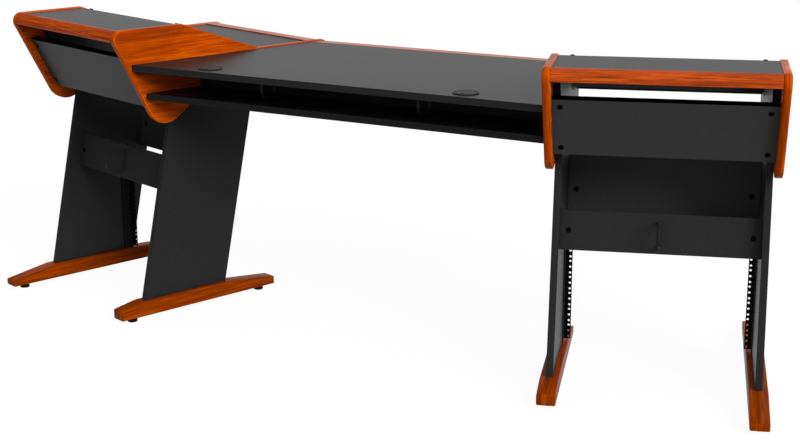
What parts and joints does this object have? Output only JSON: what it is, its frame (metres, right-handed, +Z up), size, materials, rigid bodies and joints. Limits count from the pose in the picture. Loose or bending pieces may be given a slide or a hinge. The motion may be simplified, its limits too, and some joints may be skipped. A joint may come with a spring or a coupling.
{
  "type": "studio desk",
  "caption": "Studio desk with a trapezium desktop between two turned rack bays, on raked legs with wooden feet, with a cable tray under the top.",
  "frame": {"origin": "middle of the desk's footprint on the floor", "axes": "+X to the user's right, -Y toward the user, +Z up"},
  "size_m": [2.3986, 0.9086, 0.847],
  "materials": {
    "side_wood": "satin lacquered reddish cherry, grain along the side",
    "lipping_wood": "satin lacquered reddish cherry, grain along the lipping",
    "foot_wood": "satin lacquered reddish cherry, grain along the foot",
    "top_laminate": "matt charcoal laminate board",
    "cover_laminate": "matt charcoal laminate board",
    "leg_laminate": "matt near-black laminate board",
    "tray_laminate": "matt dark laminate board",
    "cam_plastic": "black cam lock face",
    "dowel_steel": "plain steel",
    "ring_plastic": "black moulded plastic",
    "strip_metal": "black powder coat",
    "screw_metal": "black zinc",
    "pad_plastic": "black moulded plastic",
    "outlet_plastic": "black moulded plastic"
  },
  "bodies": {
    "desk": {"right_inner_side": "side_wood", "right_outer_side": "side_wood", "right_top_panel": "top_laminate", "right_rear_lipping": "lipping_wood", "right_wing_panel": "top_laminate", "right_wing_lipping": "lipping_wood", "right_rear_cover": "cover_laminate", "right_inner_leg": "leg_laminate", "right_outer_leg": "leg_laminate", "right_modesty_panel": "cover_laminate", "right_crossbar": "cover_laminate", "right_cam_locks": "cam_plastic", "right_cam_dowels": "dowel_steel", "right_cable_ring": "ring_plastic", "right_leg_rack_strips": "strip_metal", "right_bay_rack_strips": "strip_metal", "right_rack_screws": "screw_metal", "right_wing_rails": "leg_laminate", "right_inner_foot": "foot_wood", "right_outer_foot": "foot_wood", "left_inner_side": "side_wood", "left_outer_side": "side_wood", "left_top_panel": "top_laminate", "left_rear_lipping": "lipping_wood", "left_wing_panel": "top_laminate", "left_wing_lipping": "lipping_wood", "left_rear_cover": "cover_laminate", "left_inner_leg": "leg_laminate", "left_outer_leg": "leg_laminate", "left_modesty_panel": "cover_laminate", "left_crossbar": "cover_laminate", "left_cam_locks": "cam_plastic", "left_cam_dowels": "dowel_steel", "left_cable_ring": "ring_plastic", "left_leg_rack_strips": "strip_metal", "left_bay_rack_strips": "strip_metal", "left_rack_screws": "screw_metal", "left_wing_rails": "leg_laminate", "left_inner_foot": "foot_wood", "left_outer_foot": "foot_wood", "desktop": "top_laminate", "desktop_lipping": "lipping_wood", "lower_board": "tray_laminate", "cable_panel": "tray_laminate", "desk_cable_rings": "ring_plastic", "outlet_sleeves": "outlet_plastic"},
    "right_inner_rear_leveller": {"right_inner_rear_leveller": "pad_plastic"},
    "right_inner_front_leveller": {"right_inner_front_leveller": "pad_plastic"},
    "right_outer_rear_leveller": {"right_outer_rear_leveller": "pad_plastic"},
    "right_outer_front_leveller": {"right_outer_front_leveller": "pad_plastic"},
    "left_inner_rear_leveller": {"left_inner_rear_leveller": "pad_plastic"},
    "left_inner_front_leveller": {"left_inner_front_leveller": "pad_plastic"},
    "left_outer_rear_leveller": {"left_outer_rear_leveller": "pad_plastic"},
    "left_outer_front_leveller": {"left_outer_front_leveller": "pad_plastic"},
    "right_outlet_cap": {"right_outlet_cap": "outlet_plastic"},
    "left_outlet_cap": {"left_outlet_cap": "outlet_plastic"}
  },
  "joints": [
    {"name": "right_inner_rear_leveller_adjust", "type": "slide", "parent": "desk", "child": "right_inner_rear_leveller", "axis": [0, 0, -1], "range_m": [0, 0.01]},
    {"name": "right_inner_front_leveller_adjust", "type": "slide", "parent": "desk", "child": "right_inner_front_leveller", "axis": [0, 0, -1], "range_m": [0, 0.01]},
    {"name": "right_outer_rear_leveller_adjust", "type": "slide", "parent": "desk", "child": "right_outer_rear_leveller", "axis": [0, 0, -1], "range_m": [0, 0.01]},
    {"name": "right_outer_front_leveller_adjust", "type": "slide", "parent": "desk", "child": "right_outer_front_leveller", "axis": [0, 0, -1], "range_m": [0, 0.01]},
    {"name": "left_inner_rear_leveller_adjust", "type": "slide", "parent": "desk", "child": "left_inner_rear_leveller", "axis": [0, 0, -1], "range_m": [0, 0.01]},
    {"name": "left_inner_front_leveller_adjust", "type": "slide", "parent": "desk", "child": "left_inner_front_leveller", "axis": [0, 0, -1], "range_m": [0, 0.01]},
    {"name": "left_outer_rear_leveller_adjust", "type": "slide", "parent": "desk", "child": "left_outer_rear_leveller", "axis": [0, 0, -1], "range_m": [0, 0.01]},
    {"name": "left_outer_front_leveller_adjust", "type": "slide", "parent": "desk", "child": "left_outer_front_leveller", "axis": [0, 0, -1], "range_m": [0, 0.01]},
    {"name": "right_outlet_cap_lift", "type": "slide", "parent": "desk", "child": "right_outlet_cap", "axis": [0, 0, 1], "range_m": [0, 0.012]},
    {"name": "left_outlet_cap_lift", "type": "slide", "parent": "desk", "child": "left_outlet_cap", "axis": [0, 0, 1], "range_m": [0, 0.012]}
  ]
}
